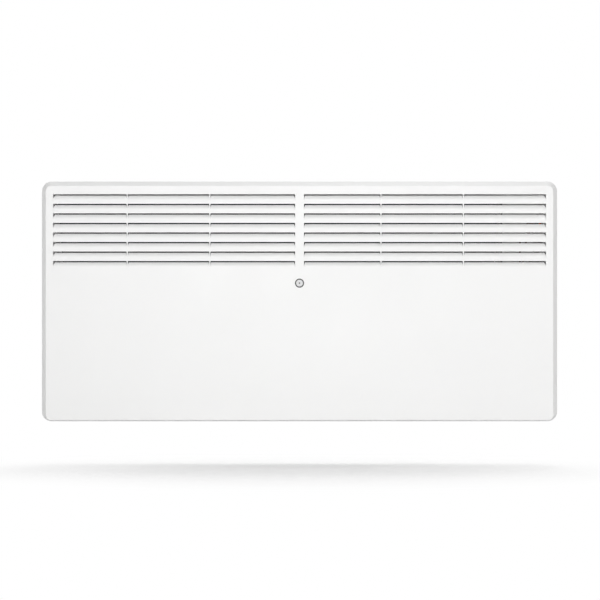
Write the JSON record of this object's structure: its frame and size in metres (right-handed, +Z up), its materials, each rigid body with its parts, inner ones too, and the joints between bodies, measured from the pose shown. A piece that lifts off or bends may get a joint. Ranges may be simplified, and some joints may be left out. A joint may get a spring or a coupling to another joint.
{
  "type": "wall panel convector heater",
  "caption": "Wall-hung panel convector heater with a louvred steel front, side controls, a finned element inside and a hook-on wall bracket.",
  "frame": {"origin": "centre of the four wall-screw holes, on the wall plane, at the heater's mid-height", "axes": "+X to the right as seen from the room, +Y into the wall, +Z up; the louvred face looks along -Y"},
  "size_m": [0.86, 0.1, 0.4],
  "materials": {
    "front_paint": "white powder coat, fine orange peel",
    "rear_paint": "white powder coat, thinner on the back",
    "casing_screw_zinc": "zinc plated",
    "galvanised_steel": "galvanised, soft spangle",
    "dulled_zinc": "zinc dulled by heat and dust",
    "rivet_steel": "plated steel",
    "bright_shield": "bright rolled sheet",
    "zinc_screws": "zinc plated",
    "control_plastic": "fine spark texture",
    "knob_plastic": "satin moulding",
    "shaft_steel": "turned steel",
    "case_plastic": "heat resistant moulding",
    "switch_plastic": "satin black",
    "rocker_plastic": "polished black",
    "lamp_lens": "translucent amber",
    "element_aluminium": "extruded, dull",
    "element_sheath": "heat tinted",
    "ceramic": "glazed steatite",
    "grommet_rubber": "soft moulded rubber",
    "nylon": "natural nylon",
    "gland_plastic": "grey white nylon",
    "terminal_brass": "plain brass",
    "copper": "drawn copper",
    "wire_brown": "silicone sleeve",
    "wire_blue": "silicone sleeve",
    "wire_green": "silicone sleeve"
  },
  "bodies": {
    "bracket": {"bracket_rail_left": "galvanised_steel", "bracket_rail_right": "galvanised_steel", "bracket_crossbar_lower": "galvanised_steel", "bracket_crossbar_upper": "galvanised_steel", "bracket_rivets": "rivet_steel"},
    "heater": {"air_deflector": "dulled_zinc", "back_sheet_screws": "zinc_screws", "bulb_clips": "nylon", "cable_gland": "gland_plastic", "capillary_tube": "copper", "casing_screws": "casing_screw_zinc", "control_plate": "control_plastic", "control_plate_screws": "zinc_screws", "cutout_bracket": "galvanised_steel", "cutout_screws": "zinc_screws", "earth_nuts": "zinc_screws", "earth_stud": "zinc_screws", "earth_tag": "terminal_brass", "element_bracket_left": "galvanised_steel", "element_bracket_right": "galvanised_steel", "element_insulator_left": "ceramic", "element_insulator_right": "ceramic", "element_pins": "shaft_steel", "front_panel": "front_paint", "gland_nut": "gland_plastic", "heat_shield": "bright_shield", "heating_element_core": "element_sheath", "heating_element_fins": "element_aluminium", "partition_plate": "galvanised_steel", "pilot_lamp_holder": "case_plastic", "pilot_lamp_lens": "lamp_lens", "rear_panel": "rear_paint", "sensor_bulb": "copper", "shield_screws": "zinc_screws", "shield_spacers": "ceramic", "switch_body_lower": "switch_plastic", "switch_body_upper": "switch_plastic", "terminal_block": "nylon", "terminal_block_screws": "zinc_screws", "terminal_screws": "terminal_brass", "thermal_cutout": "case_plastic", "thermostat_body": "case_plastic", "thermostat_nut": "zinc_screws", "wire_clips": "nylon", "wire_cutout": "wire_brown", "wire_earth": "wire_green", "wire_element": "wire_brown", "wire_grommets": "grommet_rubber", "wire_lamp": "wire_brown", "wire_live": "wire_brown", "wire_neutral": "wire_blue", "wire_switch_link": "wire_brown", "wire_thermostat_feed": "wire_brown"},
    "knob": {"thermostat_knob": "knob_plastic", "thermostat_shaft": "shaft_steel"},
    "rocker_lower": {"switch_rocker_lower": "rocker_plastic"},
    "rocker_upper": {"switch_rocker_upper": "rocker_plastic"}
  },
  "joints": [
    {"name": "heater_lift", "type": "slide", "parent": "bracket", "child": "heater", "axis": [0, 0, 1], "range_m": [0, 0.012]},
    {"name": "thermostat_turn", "type": "hinge", "parent": "heater", "child": "knob", "pos_m": [0.41, -0.0455, 0.052], "axis": [-1, 0, 0], "range_deg": [0, 270]},
    {"name": "rocker_lower_press", "type": "hinge", "parent": "heater", "child": "rocker_lower", "pos_m": [0.4115, -0.0455, 0.086], "axis": [0, -1, 0], "range_deg": [0, 16]},
    {"name": "rocker_upper_press", "type": "hinge", "parent": "heater", "child": "rocker_upper", "pos_m": [0.4115, -0.0455, 0.11], "axis": [0, -1, 0], "range_deg": [0, 16]}
  ]
}
